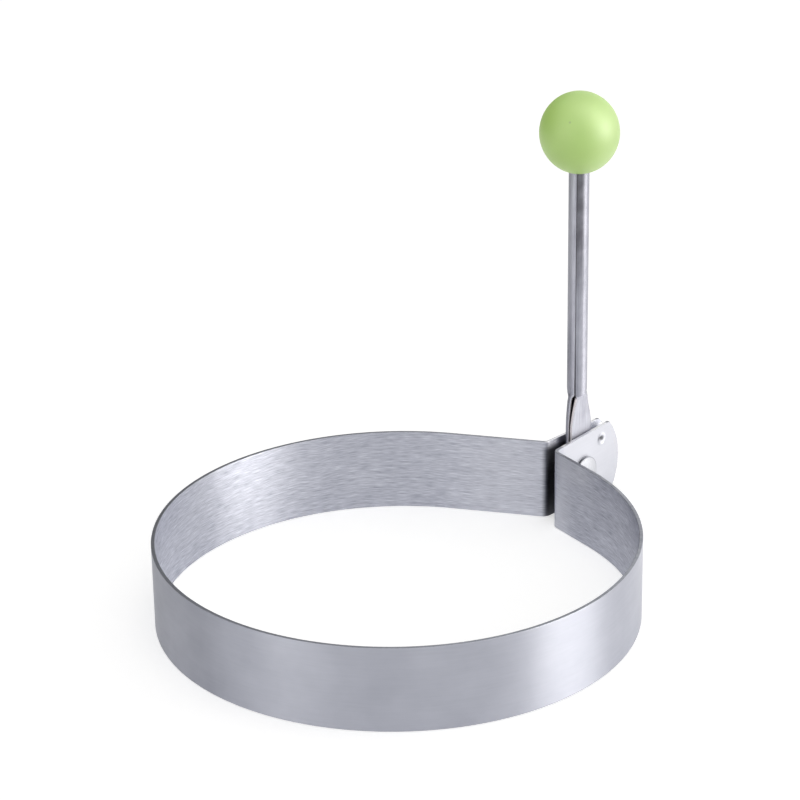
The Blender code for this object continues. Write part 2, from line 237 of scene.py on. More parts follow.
@dataclass(frozen=True, kw_only=True)
class SheetSteel(Finish):
    """Cold rolled stainless sheet; its grain follows the sheet's own flat pattern."""

    grain_length: float
    grain_share: float
    grain_pitch: float = 0.3 * MM
    mottle_size: float = 5.0 * MM
    mottle_share: float = 0.4
    anisotropy: float = 0.0
    grain: Grain = Grain.ALONG
    sway: float = 0.0
    sway_size: tuple[float, float] = (9.0 * MM, 30.0 * MM)
    broad_marks: float = 4.0
    broad_share: float = 0.3

    def material(self, marks: list[PaintedPatch] | None = None) -> Material:
        """Build the finish.

        Args:
            marks: Patches of painted shade and painted highlight on this sheet, the lowest first.

        Returns:
            A metal whose hairlines and mottling read the piece's sheet map, in metres.
        """
        material, tree = new_material(self.name)
        sheet = add_node(tree, "UVMap", {"uv_map": SHEET_UV})["UV"]
        fine = (self.grain_length, self.grain_pitch)
        if self.grain is Grain.LENGTHWISE:
            fine = fine[::-1]
        broad = tuple(size * self.broad_marks for size in fine)
        mottle = self._noise(tree, sheet, (self.mottle_size, self.mottle_size), detail=3.0)
        swayed = self._swayed(tree, sheet)
        hair = self._noise(tree, swayed, fine, detail=2.0)
        marked = self._noise(tree, swayed, broad, detail=2.0)
        grain = add_node(tree, "Mix", {0: self.broad_share, 2: hair, 3: marked})[0]
        tone = add_node(tree, "Mix", {0: self.mottle_share, 2: grain, 3: mottle})[0]

        shown = {**NOISE_SPREAD, "To Max": self.grain_share, "Value": tone}
        shade = add_node(tree, "MapRange", shown)["Result"]
        shades = {0: shade, 6: linear(self.colour), 7: linear(self.shade)}
        colour = add_node(tree, "Mix", {"data_type": "RGBA", **shades})[2]
        for mark in marks or []:
            colour = mark.lay(tree, sheet, mottle, colour)
        along = {"direction_type": "UV_MAP", "uv_map": SHEET_UV}
        surface = {
            "Metallic": 1.0,
            "Anisotropic": self.anisotropy,
            "Anisotropic Rotation": 0.25,
            "Base Color": colour,
            "Tangent": add_node(tree, "Tangent", along)["Tangent"],
        }
        self.close(tree, grain, {**NOISE_SPREAD, "Value": tone}, surface)
        return material

    def _swayed(self, tree: NodeTree, sheet: NodeSocket) -> NodeSocket:
        """Bend the sheet map a little, so that the marks don't all run the same way.

        Args:
            tree: The material's tree.
            sheet: The sheet map, in metres.

        Returns:
            The bent map.
        """
        bend = self._noise(tree, sheet, self.sway_size, detail=1.0)
        centred = {"operation": "MULTIPLY_ADD", 0: bend, 1: self.sway, 2: -self.sway / 2}
        push = add_node(tree, "Math", centred)["Value"]
        offset = add_node(tree, "CombineXYZ", {self.grain.value: push})["Vector"]
        moved = {"operation": "ADD", 0: sheet, 1: offset}
        return add_node(tree, "VectorMath", moved)["Vector"]

    @staticmethod
    def _noise(
        tree: NodeTree, sheet: NodeSocket, size: tuple[float, float], detail: float
    ) -> NodeSocket:
        """Stretch a noise over the sheet map.

        Args:
            tree: The material's tree.
            sheet: The sheet map, in metres.
            size: A noise cell's length along the run and along the rise.
            detail: How many finer layers the noise has.

        Returns:
            The noise value.
        """
        cells = (1 / size[0], 1 / size[1], 0.0)
        place = add_node(tree, "VectorMath", {"operation": "MULTIPLY", 0: sheet, 1: cells})
        values = {"Scale": 1.0, "Detail": detail, "Roughness": 0.6, "Vector": place["Vector"]}
        return add_node(tree, "TexNoise", {"noise_dimensions": "2D", **values})["Fac"]


@dataclass(frozen=True, kw_only=True)
class SolidFinish(Finish):
    """A finish without direction, which reads the piece's own coordinates."""

    gate_speck_and_painted_shade: str
    spot_axes: tuple[float, float, float] = (1.0, 1.0, 1.0)
    tone_size: float
    tone_roughness: float = 0.6
    tone_ends: tuple[float, float] = (0.0, 1.0)
    tone_share: float = 1.0
    grain_size: float
    grain_detail: float = 3.0
    grain_roughness: float = 0.6
    grain_ends: tuple[float, float] = (0.0, 1.0)
    surface: dict

    def material(self, middle: Vector, fade: dict) -> Material:
        """Build the finish.

        Args:
            middle: The point, or a point of the axis, that the spot's distance is taken from.
            fade: How the spot's share goes with the distance, as a Map Range node is told it.

        Returns:
            A material with two shades, a fine grain and a spot of a third shade.
        """
        material, tree = new_material(self.name)
        place = add_node(tree, "TexCoord")["Object"]
        cells = {"Scale": 1 / self.tone_size, "Detail": 3.0, "Roughness": self.tone_roughness}
        tone = add_node(tree, "TexNoise", {**cells, "Vector": place})["Fac"]
        ends = {"From Min": self.tone_ends[0], "From Max": self.tone_ends[1]}
        shown = {**ends, "To Max": self.tone_share, "Value": tone}
        share = add_node(tree, "MapRange", shown)["Result"]
        shades = {0: share, 6: linear(self.colour), 7: linear(self.shade)}
        colour = add_node(tree, "Mix", {"data_type": "RGBA", **shades})[2]
        # The spot is the knob's gate speck, and on the rivet painted shade round the head's rim
        away = {"operation": "SUBTRACT", 0: place, 1: middle}
        away = add_node(tree, "VectorMath", away)["Vector"]
        away = {"operation": "MULTIPLY", 0: away, 1: self.spot_axes}
        away = add_node(tree, "VectorMath", away)["Vector"]
        reach = add_node(tree, "VectorMath", {"operation": "LENGTH", 0: away})["Value"]
        spot = add_node(tree, "MapRange", {**fade, "Value": reach})["Result"]
        shades = {0: spot, 6: colour, 7: linear(self.gate_speck_and_painted_shade)}
        colour = add_node(tree, "Mix", {"data_type": "RGBA", **shades})[2]
        cells = {"Scale": 1 / self.grain_size, "Detail": self.grain_detail}
        cells |= {"Roughness": self.grain_roughness, "Vector": place}
        grain = add_node(tree, "TexNoise", cells)["Fac"]
        ends = {"From Min": self.grain_ends[0], "From Max": self.grain_ends[1], "Value": grain}
        self.close(tree, grain, ends, {**self.surface, "Base Color": colour})
        return material


# Number 4 finish: belt-ground hairlines along the strip, so that reflections smear up and down.
# The real grit lines are about 0.05 mm apart, too fine to show, so they are drawn 0.13 mm apart.
BRUSHED_INSIDE = SheetSteel(
    name="stainless_belt_brushed",
    colour="#D6D8E1",
    shade="#9698A6",
    roughness=0.48,
    roughness_swing=0.06,
    grain_pitch=0.13 * MM,
    grain_length=2.6 * MM,
    grain_depth=0.005 * MM,
    grain_share=1.0,
    mottle_size=14.0 * MM,
    mottle_share=0.12,
    anisotropy=0.88,
    sway=0.8 * MM,
)
# Bright annealed and polished to satin: no lines, a soft sheen with a faint cloudiness.
SATIN_OUTSIDE = SheetSteel(
    name="stainless_satin",
    colour="#B4B6C0",
    shade="#A3A5B0",
    roughness=0.48,
    roughness_swing=0.03,
    grain_pitch=0.4 * MM,
    grain_length=7.0 * MM,
    grain_depth=0.001 * MM,
    grain_share=0.6,
    mottle_size=11.0 * MM,
    mottle_share=0.65,
    anisotropy=0.88,
)
# Sheared edge: duller and a little darker than the faces, rough from the shear.
SHEARED_EDGE = SheetSteel(
    name="stainless_sheared_edge",
    colour="#A0A2AA",
    shade="#70737B",
    roughness=0.34,
    roughness_swing=0.08,
    grain_length=1.2 * MM,
    grain_depth=0.004 * MM,
    grain_share=0.7,
)
# The handle's cut edges are rubbed bright by the rolls.
RUBBED_EDGE = SheetSteel(
    name="stainless_rubbed_edge",
    colour="#E6E2E4",
    shade="#C2BFC3",
    roughness=0.35,
    grain_length=1.2 * MM,
    grain_depth=0.002 * MM,
    grain_share=0.6,
)
# Sheet drawn through rolls: fine marks run lengthwise, so that the tube shows upright streaks.
# Like the edges' marks they are drawn 0.3 mm apart, because the real ones are too fine to show.
ROLLED_STEM = SheetSteel(
    name="stainless_rolled",
    colour="#BCBDC7",
    shade="#878894",
    roughness=0.5,
    grain_length=9.0 * MM,
    grain_depth=0.003 * MM,
    grain_share=0.8,
    mottle_size=4.0 * MM,
    mottle_share=0.35,
    anisotropy=0.85,
    grain=Grain.LENGTHWISE,
    sway=0.5 * MM,
)
# Cold headed and tumbled: an even bright satin without direction, with painted shade darkening the
# head towards its rim, where it meets the tab. Its peening is drawn 0.5 mm wide, coarser than it
# is, so that it shows.
HEADED_RIVET = SolidFinish(
    name="stainless_tumbled",
    colour="#BBBCC2",
    shade="#A4A6AD",
    # Painted shade round the head's rim, where it meets the tab
    gate_speck_and_painted_shade="#84868D",
    spot_axes=(0.0, 1.0, 1.0),
    roughness=0.62,
    tone_size=0.5 * MM,
    grain_size=0.5 * MM,
    grain_depth=0.004 * MM,
    surface={"Metallic": 1.0},
)
# Polypropylene from a spark-eroded mould: a fine matt grain under a soft sheen, and the gate's
# dark speck. The real grain is finer than 0.1 mm and drawn 0.25 mm wide, so that it shows.
KNOB_PLASTIC = SolidFinish(
    name="polypropylene_green",
    colour="#A7D342",
    shade="#9DC938",
    gate_speck_and_painted_shade="#4E6B33",
    roughness=0.55,
    tone_size=5.0 * MM,
    tone_roughness=0.55,
    tone_ends=(0.35, 0.65),
    tone_share=0.35,
    grain_size=0.25 * MM,
    grain_depth=0.01 * MM,
    grain_detail=2.0,
    grain_roughness=0.5,
    grain_ends=(0.3, 0.7),
    surface={
        "IOR": 1.49,
        "Coat Weight": 1.0,
        "Coat Roughness": 0.6,
        "Coat IOR": 2.5,
        "Subsurface Weight": 0.25,
        "Subsurface Scale": 3.0 * MM,
        "Subsurface Radius": (0.6, 1.0, 0.3),
    },
)


def add_object(name: str, data: ID) -> Object:
    """Add an object to the scene.

    Args:
        name: The object's name.
        data: Its mesh, light or camera.

    Returns:
        The object.
    """
    made = bpy.data.objects.new(name, data)
    bpy.context.scene.collection.objects.link(made)
    return made


def from_bmesh(name: str, bm: BMesh) -> Object:
    """Turn a finished edit mesh into an object.

    Args:
        name: The object's name.
        bm: The edit mesh, which is freed.

    Returns:
        The object.
    """
    mesh = bpy.data.meshes.new(name)
    bm.to_mesh(mesh)
    bm.free()
    return add_object(name, mesh)


def applied(source: Object, name: str) -> Object:
    """Turn an object and its modifiers into a plain mesh object, and remove the source.

    Args:
        source: The object with modifiers.
        name: The name of the plain piece.

    Returns:
        The plain object, at the origin.
    """
    graph = bpy.context.evaluated_depsgraph_get()
    mesh = bpy.data.meshes.new_from_object(source.evaluated_get(graph), depsgraph=graph)
    bpy.data.objects.remove(source, do_unlink=True)
    mesh.name = name
    return add_object(name, mesh)


def add_quad(bm: BMesh, corners: tuple[tuple[BMVert, tuple[float, float]], ...]) -> None:
    """Add a smooth face with its places on the sheet map.

    Args:
        bm: The mesh, which has the sheet map's layer.
        corners: A vertex and its place on the sheet map, for each corner.
    """
    face = bm.faces.new([vertex for vertex, _ in corners])
    face.smooth = True
    uv = bm.loops.layers.uv[SHEET_UV]
    for loop, (_, place) in zip(face.loops, corners):
        loop[uv].uv = place


def face_outward(bm: BMesh, out: Vector) -> None:
    """Turn a surface's faces one way round.

    Args:
        bm: The surface.
        out: The direction in which the furthest face has to look.
    """
    bmesh.ops.recalc_face_normals(bm, faces=bm.faces)
    far = max(bm.faces, key=lambda face: face.calc_center_median().dot(out))
    if far.normal.dot(out) < 0:
        bmesh.ops.reverse_faces(bm, faces=bm.faces)


class SweepTree:
    """A node tree that raises a strip along a path, or turns a profile round a circle."""

    def __init__(self, name: str, turned: bool) -> None:
        """Build the tree.

        Args:
            name: What the tree is called.
            turned: True to turn the line about Z, False to raise a strip along it.
        """
        self.tree = tree = bpy.data.node_groups.new(name, "GeometryNodeTree")
        inputs = {"Line": "Geometry", "Size": "Float", "Steps": "Int", "Finish": "Material"}
        self.sockets = {}
        for label, kind in inputs.items():
            socket = {"in_out": "INPUT", "socket_type": f"NodeSocket{kind}"}
            self.sockets[label] = tree.interface.new_socket(label, **socket).identifier
        socket = {"in_out": "OUTPUT", "socket_type": "NodeSocketGeometry"}
        tree.interface.new_socket("Mesh", **socket)
        given = add_node(tree, "NodeGroupInput")
        path = add_node(tree, "GeometryNodeMeshToCurve", {"Mesh": given["Line"]})["Curve"]
        if turned:
            profile = path
            circle = {"mode": "RADIUS", "Resolution": given["Steps"], "Radius": given["Size"]}
            path = add_node(tree, "GeometryNodeCurvePrimitiveCircle", circle)["Curve"]
        else:
            # Curve to Mesh carries a profile's Y downwards on a level path
            down = {"operation": "MULTIPLY", 0: given["Size"], 1: -1.0}
            down = add_node(tree, "Math", down)["Value"]
            end = add_node(tree, "CombineXYZ", {"Y": down})["Vector"]
            straight = add_node(tree, "GeometryNodeCurvePrimitiveLine", {"End": end})["Curve"]
            count = {"operation": "ADD", 0: given["Steps"], 1: 1.0}
            count = add_node(tree, "Math", count)["Value"]
            rows = {"Curve": straight, "Count": count}
            profile = add_node(tree, "GeometryNodeResampleCurve", rows)["Curve"]
        level = {"mode": "Z_UP", "Curve": path}
        path = add_node(tree, "GeometryNodeSetCurveNormal", level)["Curve"]
        # Each point's lengths along path and profile are its place on the sheet map
        curves, lengths = {}, {}
        for label, curve, name, axis in (
            ("Curve", path, "run", "X"),
            ("Profile Curve", profile, "rise", "Y"),
        ):
            named = {"data_type": "FLOAT", "Name": name}
            length = add_node(tree, "GeometryNodeSplineParameter")["Length"]
            stored = {**named, "domain": "POINT", "Value": length, "Geometry": curve}
            curves[label] = add_node(tree, "GeometryNodeStoreNamedAttribute", stored)["Geometry"]
            read = add_node(tree, "GeometryNodeInputNamedAttribute", named)["Attribute"]
            lengths[axis] = read
        geometry = add_node(tree, "GeometryNodeCurveToMesh", curves)["Mesh"]
        place = add_node(tree, "CombineXYZ", lengths)["Vector"]
        mapped = {"data_type": "FLOAT2", "domain": "CORNER", "Name": SHEET_UV, "Value": place}
        for kind, values in (
            ("GeometryNodeStoreNamedAttribute", mapped),
            ("GeometryNodeSetShadeSmooth", {}),
            ("GeometryNodeRealizeInstances", {}),
            ("GeometryNodeSetMaterial", {"Material": given["Finish"]}),
        ):
            geometry = add_node(tree, kind, {**values, "Geometry": geometry})["Geometry"]
        add_node(tree, "NodeGroupOutput", {"Mesh": geometry})

    def run(
        self, name: str, points: list[Vector], size: float, steps: int, finish: Material
    ) -> Object:
        """Sweep or turn a line into a plain mesh.

        Args:
            name: The name of the result.
            points: The line's points.
            size: The strip's height, or the radius that the turned profile is measured from.
            steps: Rows up the strip, or steps round the turn.
            finish: The material of the result.

        Returns:
            A plain mesh object.
        """
        mesh = bpy.data.meshes.new(f"{name}_line")
        mesh.from_pydata(points, [(i, i + 1) for i in range(len(points) - 1)], [])
        mesh.materials.append(finish)
        source = add_object(f"{name}_line", mesh)
        modifier = source.modifiers.new("sweep", "NODES")
        modifier.node_group = self.tree
        for label, value in (("Size", size), ("Steps", steps), ("Finish", finish)):
            modifier[self.sockets[label]] = value
        return applied(source, name)


def thicken(
    piece: Object, sheet: float, edge_radius: float, inside: int = 0, rim: int = 0
) -> None:
    """Give a middle surface its sheet thickness and rounded edges.

    Args:
        piece: The object that holds the middle surface.
        sheet: The sheet's thickness.
        edge_radius: Radius of the cut edges.
        inside: Material slots from the front face's to the back face's.
        rim: Material slots from the front face's to the edge's.
    """
    shell = piece.modifiers.new("sheet", "SOLIDIFY")
    shell.thickness = sheet
    shell.offset = 0.0
    shell.use_even_offset = True
    shell.material_offset = inside
    shell.material_offset_rim = rim
    bevel = piece.modifiers.new("edge", "BEVEL")
    bevel.width = edge_radius
    bevel.segments = 3
    bevel.limit_method = "ANGLE"
    bevel.angle_limit = math.radians(55.0)
    bevel.harden_normals = True


def turned(
    sweep: SweepTree,
    name: str,
    profile: list[tuple[float, float]],
    steps: int,
    finish: Material,
    place: Matrix,
) -> Object:
    """Turn a profile into a closed solid and put it in its place.

    Args:
        sweep: The tree that turns a profile.
        name: The piece's name.
        profile: Radius and height of each point; the first and the last are on the axis.
        steps: Steps round the turn.
        finish: The piece's material.
        place: Where the solid goes, with its axis along local Z.

    Returns:
        The finished piece.
    """
    path_radius = 1.0 * MM
    # Curve to Mesh carries a profile's Y downwards on a level path
    shifted = [Vector((radius - path_radius, -height, 0.0)) for radius, height in profile]
    piece = sweep.run(name, shifted, path_radius, steps, finish)
    bm = bmesh.new()
    bm.from_mesh(piece.data)
    bmesh.ops.remove_doubles(bm, verts=bm.verts, dist=0.001 * MM)
    bmesh.ops.recalc_face_normals(bm, faces=bm.faces)
    bmesh.ops.transform(bm, matrix=place, verts=bm.verts)
    for face in bm.faces:
        face.smooth = True
    bm.to_mesh(piece.data)
    bm.free()
    piece.data.set_sharp_from_angle(angle=math.radians(38.0))
    return piece


def along_rivet(hinge: Vector) -> Matrix:
    """Place at the hinge whose local Z runs along the rivet."""
    return Matrix.Translation(hinge) @ Matrix.Rotation(math.radians(90.0), 4, "Y")


def ease(value: float, low: float, high: float) -> float:
    """Smooth step from 0 at low to 1 at high."""
    share = min(max((value - low) / (high - low), 0.0), 1.0)
    return share * share * (3.0 - 2.0 * share)


def mix(start: float, end: float, share: float) -> float:
    """Value between start and end."""
    return start + (end - start) * share


def length_of(line: list[Vector]) -> float:
    """Length of a line of points."""
    return sum((b - a).length for a, b in zip(line, line[1:]))


def bell(offset: float, width: float) -> float:
    """Bell curve, 1 at its middle."""
    return math.exp(-((offset / width) ** 2))


@dataclass(frozen=True)
class TabShape:
    """One end of the strip: how it leaves the ring and how it leans."""

    side: Side
    flare_degrees: float
    lean_degrees: float


@dataclass
class RingBand:
    """The strip: ring, two bends and two round-ended tabs with rivet holes and dimples."""

    hinge: Vector
    inner_radius: float = 45.0 * MM
    sheet: float = 0.7 * MM
    height: float = 16.4 * MM
    rivet_standoff: float = 10.95 * MM
    tab_gap: float = 2.6 * MM
    tab_radius: float = 11.9 * MM
    bend_radius: float = 1.4 * MM
    hole_radius: float = 1.65 * MM
    dimple_reach: float = 5.8 * MM
    dimple_rise: float = 5.35 * MM
    dimple_radius: float = 1.45 * MM
    dimple_depth: float = 0.4 * MM
    punch_share: float = 0.3
    punch_radius_share: float = 0.45
    # Size and place of the painted shade in each dimple
    painted_pit_shade_radius: float = 1.05 * MM
    painted_pit_shade_border: float = 0.75 * MM
    painted_pit_shade_offset: float = 0.5 * MM
    edge_radius: float = 0.12 * MM
    rows: int = 16
    bend_steps: int = 16
    tab_side_steps: int = 48
    tab_end_steps: int = 96
    tab_rings: int = 56
    front: TabShape = TabShape(Side.FRONT, flare_degrees=16.5, lean_degrees=0.7)
    back: TabShape = TabShape(Side.BACK, flare_degrees=25.7, lean_degrees=4.7)

    @property
    def middle_radius(self) -> float:
        """Radius of the middle of the ring's sheet."""
        return self.inner_radius + self.sheet / 2

    @property
    def rivet_reach(self) -> float:
        """Distance from the ring's centre to the rivet."""
        return self.middle_radius + self.rivet_standoff

    @property
    def centre(self) -> Vector:
        """The ring's centre on the surface that it stands on."""
        return Vector((0.0, self.hinge.y - self.rivet_reach, 0.0))

    def half_path(self, tab: TabShape) -> tuple[list[Vector], Vector, Vector, float]:
        """Plan points from the ring's far point to the end of a bend.

        Args:
            tab: The end of the strip.

        Returns:
            The points, the tab's direction, its middle at the rivet, and its length up to there.
        """
        side = tab.side.value
        flare, lean = math.radians(tab.flare_degrees), math.radians(tab.lean_degrees)
        steps = round(math.degrees(math.pi - flare))
        points = []
        for step in range(steps + 1):
            angle = math.pi + (flare - math.pi) * step / steps
            points.append(self.middle_radius * Vector((side * math.sin(angle), math.cos(angle))))
        leave = points[-1]
        tangent = Vector((-side * math.cos(flare), math.sin(flare)))
        line = Vector((-side * math.sin(lean), math.cos(lean)))
        at_rivet = Vector((side * (self.tab_gap + self.sheet) / 2, self.rivet_reach))
        across = Vector((line.y, -line.x))
        corner = leave + tangent * ((at_rivet - leave).dot(across) / tangent.dot(across))
        turn = tangent.angle(line)
        start = corner - tangent * self.bend_radius * math.tan(turn / 2)
        inward = (line - tangent * tangent.dot(line)).normalized()
        middle = start + inward * self.bend_radius
        span = (start - leave).length
        straight = round(span / (1.0 * MM))
        points += [leave + tangent * span * step / straight for step in range(1, straight)]
        for step in range(self.bend_steps + 1):
            angle = turn * step / self.bend_steps
            ray = tangent * math.sin(angle) - inward * math.cos(angle)
            points.append(middle + ray * self.bend_radius)
        return points, line, at_rivet, (at_rivet - points[-1]).dot(line)

    def marks(self) -> tuple[list[PaintedPatch], list[PaintedPatch], list[PaintedPatch]]:
        """List the painted highlights and painted shade on the sheet.

        Returns:
            The painted patches of its outside, its inside and its edges, the lowest first.
        """
        back, _, _, back_near = self.half_path(self.back)
        front, _, _, front_near = self.half_path(self.front)
        bends_end = length_of(back) + length_of(front)
        half_bend, before_rivet, past_edges = 0.9 * MM, 7.6 * MM, 12.0 * MM
        middle, bend = self.height / 2, bends_end - half_bend
        wall = bend - 5.0 * MM
        # Painted highlights on the inside: the front bend, the wall by its top, the back bend
        painted_highlights = (
            ((bend, middle), (8.0 * MM, past_edges), (7.0 * MM, 1.0 * MM), "#E4E5EA", 0.5),
            ((wall, 15.0 * MM), (9.0 * MM, 6.0 * MM), (6.0 * MM, 5.5 * MM), "#E4E5EA", 0.4),
            ((9.0 * MM, middle), (13.0 * MM, past_edges), (11.0 * MM, 1.0 * MM), "#E0E1E8", 0.22),
        )
        outside, inside, edges = [], [PaintedPatch(*patch) for patch in painted_highlights], []
        for out, rivet in ((-1, -back_near), (1, bends_end + front_near)):
            # Painted highlight on the strip's ends, outside and edges, from before the rivet to
            # past it
            for face, past_rivet, shade, share in (
                (outside, 13.0 * MM, "#D6D6DA", 0.24),
                (edges, 8.4 * MM, "#F0F0F2", 0.8),
            ):
                run = rivet + out * (past_rivet - before_rivet) / 2
                reach = ((past_rivet + before_rivet) / 2, past_edges)
                face.append(PaintedPatch((run, middle), reach, (1.0 * MM, 1.0 * MM), shade, share))
            # Painted shade in the dimples, off their middles
            place = (rivet + out * (self.dimple_reach + self.painted_pit_shade_offset), middle + self.dimple_rise)
            reach, border = (self.painted_pit_shade_radius,) * 2, (self.painted_pit_shade_border,) * 2
            outside.append(PaintedPatch(place, reach, border, "#1E1F23", 0.95, Outline.ROUND))
            # Painted shade on the inside beside the bends, for the dark gap between the tabs
            place = (rivet + out * (1.5 * MM - back_near / 2), 4.0 * MM)
            reach, border = (6.3 * MM, 11.8 * MM), (1.1 * MM, 1.6 * MM)
            inside.append(PaintedPatch(place, reach, border, "#3E4046", 0.9))
        return outside, inside, edges

    def tab_outline(self, near: float) -> list[tuple[float, float]]:
        """Outline of a tab about its rivet, from the bend round to the bend again.

        Args:
            near: Distance from the rivet back to the end of the bend.

        Returns:
            Points of distance along the tab and height, both from the rivet.
        """
        half, radius, sides = self.height / 2, self.tab_radius, self.tab_side_steps
        corner = math.sqrt(radius**2 - half**2)
        turn = math.asin(half / radius)
        outline = [(-near, half - self.height * row / self.rows) for row in range(self.rows)]
        outline += [(-near + (corner + near) * i / sides, -half) for i in range(sides)]
        for step in range(self.tab_end_steps):
            angle = -turn + 2 * turn * step / self.tab_end_steps
            outline.append((radius * math.cos(angle), radius * math.sin(angle)))
        return outline + [(corner - (corner + near) * i / sides, half) for i in range(sides)]

    def dimple(self, along: float, rise: float) -> float:
        """Shape the pressed dimple.

        Args:
            along: Distance from the rivet along the tab.
            rise: Height above the rivet.

        Returns:
            How deep the sheet is pressed there.
        """
        reach = math.hypot(along - self.dimple_reach, rise - self.dimple_rise) / self.dimple_radius
        if reach >= 1:
            return 0.0
        bowl = self.dimple_depth * (1 - reach**2) ** 1.5
        punch = max(1 - (reach / self.punch_radius_share) ** 2, 0.0)
        return bowl + self.punch_share * self.dimple_depth * punch

    def add_tab(self, bm: BMesh, tab: TabShape, run: float) -> None:
        """Add a tab's middle surface to the strip.

        Args:
            bm: The strip's mesh.
            tab: The end of the strip.
            run: Length of the sheet up to the end of the bend.
        """
        side = tab.side.value
        _, line, at_rivet, near = self.half_path(tab)
        inward = Vector((-line.y, line.x)) * side
        columns = []
        for along, rise in self.tab_outline(near):
            angle = math.atan2(rise, along)
            hole = (self.hole_radius * math.cos(angle), self.hole_radius * math.sin(angle))
            column = []
            for ring in range(self.tab_rings + 1):
                share = ring / self.tab_rings
                a, z = mix(hole[0], along, share), mix(hole[1], rise, share)
                plan = at_rivet + line * a + inward * self.dimple(a, z)
                place = Vector((plan.x, plan.y, self.height / 2 + z)) + self.centre
                on_map = (run + side * (a + near), z + self.height / 2)
                column.append((bm.verts.new(place), on_map))
            columns.append(column)
        for this, after in zip(columns, columns[1:] + columns[:1]):
            for ring in range(self.tab_rings):
                add_quad(bm, (this[ring], after[ring], after[ring + 1], this[ring + 1]))

    def build(self, sweep: SweepTree) -> Object:
        """Make and dress the strip, on its outside, its inside and its edges.

        Args:
            sweep: The tree that raises the strip along its path.

        Returns:
            The finished ring band.
        """
        kinds = (SATIN_OUTSIDE, BRUSHED_INSIDE, SHEARED_EDGE)
        finishes = [kind.material(marks) for kind, marks in zip(kinds, self.marks())]
        path = self.half_path(self.back)[0][::-1] + self.half_path(self.front)[0][1:]
        points = [Vector((p.x, p.y, 0.0)) + self.centre for p in path]
        band = sweep.run("ring_band_steel", points, self.height, self.rows, finishes[0])
        bm = bmesh.new()
        bm.from_mesh(band.data)
        self.add_tab(bm, self.back, 0.0)
        self.add_tab(bm, self.front, length_of(points))
        bmesh.ops.remove_doubles(bm, verts=bm.verts, dist=0.002 * MM)
        face_outward(bm, Vector((0.0, -1.0, 0.0)))
        bm.to_mesh(band.data)
        bm.free()
        for extra in finishes[1:]:
            band.data.materials.append(extra)
        thicken(band, self.sheet, self.edge_radius, inside=1, rim=2)
        return applied(band, "ring_band_steel")


@dataclass
class HingeRivet:
    """The rivet: a low dome in front and a rolled tail behind."""

    hinge: Vector
    shank_radius: float = 1.4 * MM
    head_radius: float = 3.5 * MM
    head_rise: float = 0.95 * MM
    head_rim: float = 0.15 * MM
    head_chamfer: float = 0.02 * MM
    tail_radius: float = 2.6 * MM
    tail_rise: float = 0.7 * MM
    bore_radius: float = 0.85 * MM
    bore_depth: float = 1.1 * MM
    painted_rim_shade_width: float = 0.3 * MM
    steps: int = 72
    dome_steps: int = 20
    roll_steps: int = 18

    def profile(self, head_seat: float, tail_seat: float) -> list[tuple[float, float]]:
        """Go from the dome's crown to the bore's bottom.

        Args:
            head_seat: Height of the underside of the head.
            tail_seat: Height of the underside of the tail, below zero.

        Returns:
            Radius and height of each point.
        """
        rise = self.head_rise - self.head_rim
        dome = (self.head_radius**2 + rise**2) / (2 * rise)
        spread = math.asin(self.head_radius / dome)
        points = []
        for step in range(self.dome_steps + 1):
            angle = spread * step / self.dome_steps
            height = head_seat + self.head_rise - dome + dome * math.cos(angle)
            points.append((dome * math.sin(angle), height))
        points += [
            (self.head_radius, head_seat + self.head_chamfer),
            (self.head_radius - self.head_chamfer, head_seat),
            (self.shank_radius, head_seat),
            (self.shank_radius, tail_seat),
            (self.tail_radius, tail_seat),
        ]
        tail_end = tail_seat - self.tail_rise
        roll = (self.tail_radius - self.bore_radius) / 2
        for step in range(self.roll_steps + 1):
            angle = math.pi * step / self.roll_steps
            drop = (self.tail_rise / 2) * math.sin(angle)
            radius = self.bore_radius + roll + roll * math.cos(angle)
            points.append((radius, tail_end + self.tail_rise / 2 - drop))
        bottom = tail_end + self.bore_depth
        return points + [(self.bore_radius, bottom), (0.0, bottom)]

    def build(self, sweep: SweepTree) -> Object:
        """Make and dress the rivet, with painted shade darkening its head towards the rim.

        Args:
            sweep: The tree that turns a profile.

        Returns:
            The finished rivet, along X.
        """
        ends = {"From Min": self.head_radius - self.painted_rim_shade_width, "From Max": self.head_radius}
        fade = {"interpolation_type": "SMOOTHSTEP", **ends}
        finish = HEADED_RIVET.material(self.hinge, fade)
        low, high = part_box("hinge_rivet")
        head_seat = high.x - self.hinge.x - self.head_rise
        tail_seat = low.x - self.hinge.x + self.tail_rise
        profile = self.profile(head_seat, tail_seat)
        place = along_rivet(self.hinge)
        return turned(sweep, "hinge_rivet_steel", profile, self.steps, finish, place)


